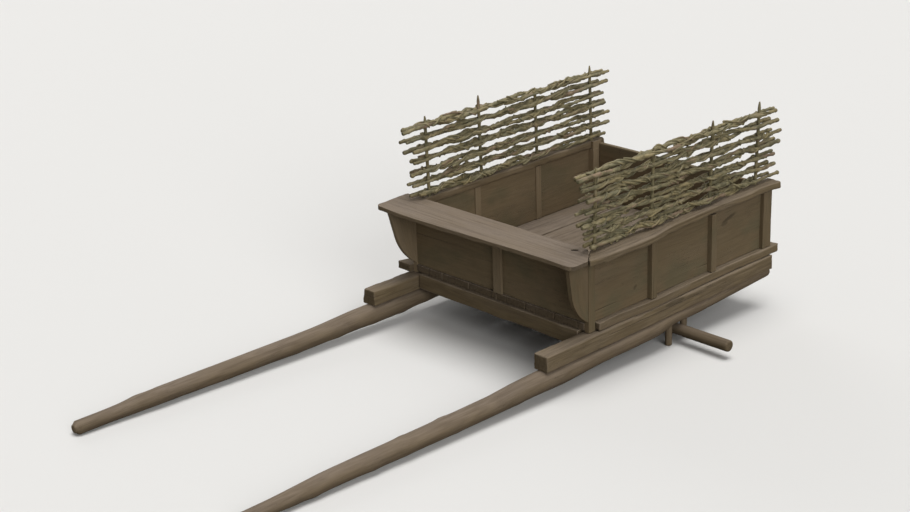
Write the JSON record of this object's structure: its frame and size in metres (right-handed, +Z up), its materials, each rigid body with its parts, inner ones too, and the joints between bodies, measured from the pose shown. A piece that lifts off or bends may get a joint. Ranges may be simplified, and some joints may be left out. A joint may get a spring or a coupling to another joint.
{
  "type": "wooden hay cart without wheels",
  "caption": "Farm hay cart with a boarded body, woven rod hurdles on the sides, two long shafts and a bare round axle between pegs; its wheels are missing.",
  "frame": {"origin": "on the ground under the middle of the cart's length and width, as it rests", "axes": "+Z up, -Y towards the shaft tips, +X to the cart's left"},
  "size_m": [1.84, 3.5254, 1.1227],
  "materials": {
    "weathered_board": "weathered, dry, unpainted boards",
    "squared_timber": "weathered, dry, hewn timber",
    "round_pole": "debarked pole, worn smooth",
    "woven_rods": "dry unpeeled rods"
  },
  "bodies": {
    "cart": {"cross_beam_front": "squared_timber", "cross_beam_middle": "squared_timber", "cross_beam_rear": "squared_timber", "floor_board_1": "weathered_board", "floor_board_2": "weathered_board", "floor_board_3": "weathered_board", "floor_board_4": "weathered_board", "floor_board_5": "weathered_board", "floor_board_6": "weathered_board", "front_batten": "weathered_board", "front_board": "weathered_board", "front_ear_left": "weathered_board", "front_ear_right": "weathered_board", "guide_pegs_left": "round_pole", "guide_pegs_right": "round_pole", "hurdle_rods_left": "woven_rods", "hurdle_rods_right": "woven_rods", "hurdle_stakes_left": "woven_rods", "hurdle_stakes_right": "woven_rods", "posts_left": "squared_timber", "posts_right": "squared_timber", "rail_left": "squared_timber", "rail_right": "squared_timber", "rim_left": "squared_timber", "rim_right": "squared_timber", "seat_plank": "weathered_board", "shaft_left": "round_pole", "shaft_right": "round_pole", "side_panel_left_1": "weathered_board", "side_panel_left_2": "weathered_board", "side_panel_left_3": "weathered_board", "side_panel_right_1": "weathered_board", "side_panel_right_2": "weathered_board", "side_panel_right_3": "weathered_board", "sill_left": "squared_timber", "sill_right": "squared_timber", "tail_board": "weathered_board"},
    "axle": {"axle": "round_pole"}
  },
  "joints": [
    {"name": "axle_spin", "type": "hinge", "parent": "cart", "child": "axle", "pos_m": [0, 0.97367, 0.07002], "axis": [1, 0, 0], "continuous": true}
  ]
}
